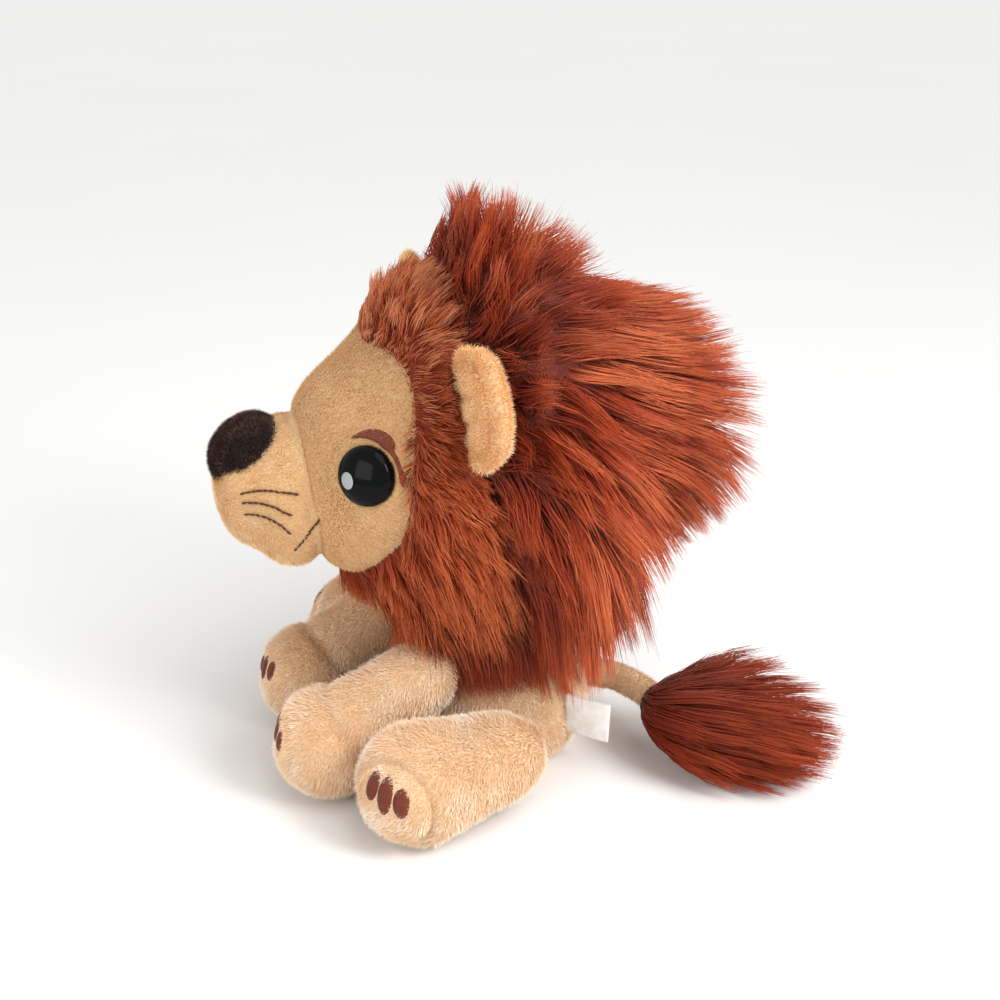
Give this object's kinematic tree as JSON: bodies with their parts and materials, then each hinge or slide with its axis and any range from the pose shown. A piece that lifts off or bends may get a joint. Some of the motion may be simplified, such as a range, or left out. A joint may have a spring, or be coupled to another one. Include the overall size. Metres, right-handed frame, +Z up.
{
  "type": "plush lion",
  "caption": "Sitting stuffed lion with a long-pile mane, a medium-pile hood, snap-in eyes, short legs and a tufted tail.",
  "frame": {"origin": "middle of the flat seat, on the surface it rests on", "axes": "+Z up, the lion faces -X and its left side is -Y"},
  "size_m": [0.2492, 0.192, 0.2391],
  "materials": {
    "body_plush": "short cream pile",
    "face_plush": "short smooth tan pile",
    "muzzle_plush": "short light tan pile",
    "hood_pile": "medium rust pile",
    "mane_pile": "long dark rust pile",
    "nose_pile": "dark brown looped pile",
    "eye_gloss": "glossy black",
    "trim_thread": "satin embroidery thread",
    "whisker_thread": "dark brown thread",
    "cloth": "white woven",
    "stuffing": "loose fibre",
    "pellets": "bag of pellets",
    "washer_plastic": "matte"
  },
  "bodies": {
    "torso": {"torso_shell": "body_plush", "torso_filling": "stuffing", "pellet_bag": "pellets", "label_tag": "cloth"},
    "neck": {"neck_thread": "cloth"},
    "head": {"head_shell": "face_plush", "head_filling": "stuffing", "muzzle_shell": "muzzle_plush", "nose_pad": "nose_pile", "hair_hood": "hood_pile", "mane": "mane_pile", "eye_left": "eye_gloss", "eye_right": "eye_gloss", "eye_washer_left": "washer_plastic", "eye_washer_right": "washer_plastic", "eye_lid_left": "trim_thread", "eye_lid_right": "trim_thread", "whisker_1_left": "whisker_thread", "whisker_1_right": "whisker_thread", "whisker_2_left": "whisker_thread", "whisker_2_right": "whisker_thread", "whisker_3_left": "whisker_thread", "whisker_3_right": "whisker_thread", "mouth_thread_left": "whisker_thread", "mouth_thread_right": "whisker_thread"},
    "tail": {"tail_shell": "body_plush", "tail_filling": "stuffing", "tail_tuft": "mane_pile"},
    "ear_left": {"ear_left": "body_plush"},
    "front_leg_left": {"front_leg_shell_left": "body_plush", "front_leg_filling_left": "stuffing", "front_pad_1_left": "trim_thread", "front_pad_2_left": "trim_thread", "front_pad_3_left": "trim_thread"},
    "hind_leg_left": {"hind_leg_shell_left": "body_plush", "hind_leg_filling_left": "stuffing", "hind_pad_1_left": "trim_thread", "hind_pad_2_left": "trim_thread", "hind_pad_3_left": "trim_thread"},
    "ear_right": {"ear_right": "body_plush"},
    "front_leg_right": {"front_leg_shell_right": "body_plush", "front_leg_filling_right": "stuffing", "front_pad_1_right": "trim_thread", "front_pad_2_right": "trim_thread", "front_pad_3_right": "trim_thread"},
    "hind_leg_right": {"hind_leg_shell_right": "body_plush", "hind_leg_filling_right": "stuffing", "hind_pad_1_right": "trim_thread", "hind_pad_2_right": "trim_thread", "hind_pad_3_right": "trim_thread"}
  },
  "joints": [
    {"name": "head_turn", "type": "hinge", "parent": "torso", "child": "neck", "pos_m": [0, 0, 0.066], "axis": [0, 0, 1], "range_deg": [-20, 20]},
    {"name": "head_nod", "type": "hinge", "parent": "neck", "child": "head", "pos_m": [0, 0, 0.066], "axis": [0, 1, 0], "range_deg": [-7, 7]},
    {"name": "front_leg_lift_left", "type": "hinge", "parent": "torso", "child": "front_leg_left", "pos_m": [-0.04192, -0.03343, 0.047], "axis": [0, 1, 0], "range_deg": [0, 25]},
    {"name": "front_leg_lift_right", "type": "hinge", "parent": "torso", "child": "front_leg_right", "pos_m": [-0.04192, 0.03343, 0.047], "axis": [0, 1, 0], "range_deg": [0, 25]},
    {"name": "hind_leg_spread_left", "type": "hinge", "parent": "torso", "child": "hind_leg_left", "pos_m": [-0.01411, -0.0618, 0.024], "axis": [0, 0, 1], "range_deg": [0, 20]},
    {"name": "hind_leg_spread_right", "type": "hinge", "parent": "torso", "child": "hind_leg_right", "pos_m": [-0.01411, 0.0618, 0.024], "axis": [0, 0, -1], "range_deg": [0, 20]},
    {"name": "tail_swing", "type": "hinge", "parent": "torso", "child": "tail", "pos_m": [0.05136, 0, 0.022], "axis": [0, 0, 1], "range_deg": [-15, 15]},
    {"name": "ear_fold_left", "type": "hinge", "parent": "head", "child": "ear_left", "pos_m": [-0.0199, -0.05487, 0.17696], "axis": [0, 0.4226, 0.9063], "range_deg": [-10, 10], "stiffness_Nm_per_rad": 0.004},
    {"name": "ear_fold_right", "type": "hinge", "parent": "head", "child": "ear_right", "pos_m": [-0.0199, 0.05487, 0.17696], "axis": [0, 0.4226, -0.9063], "range_deg": [-10, 10], "stiffness_Nm_per_rad": 0.004}
  ]
}
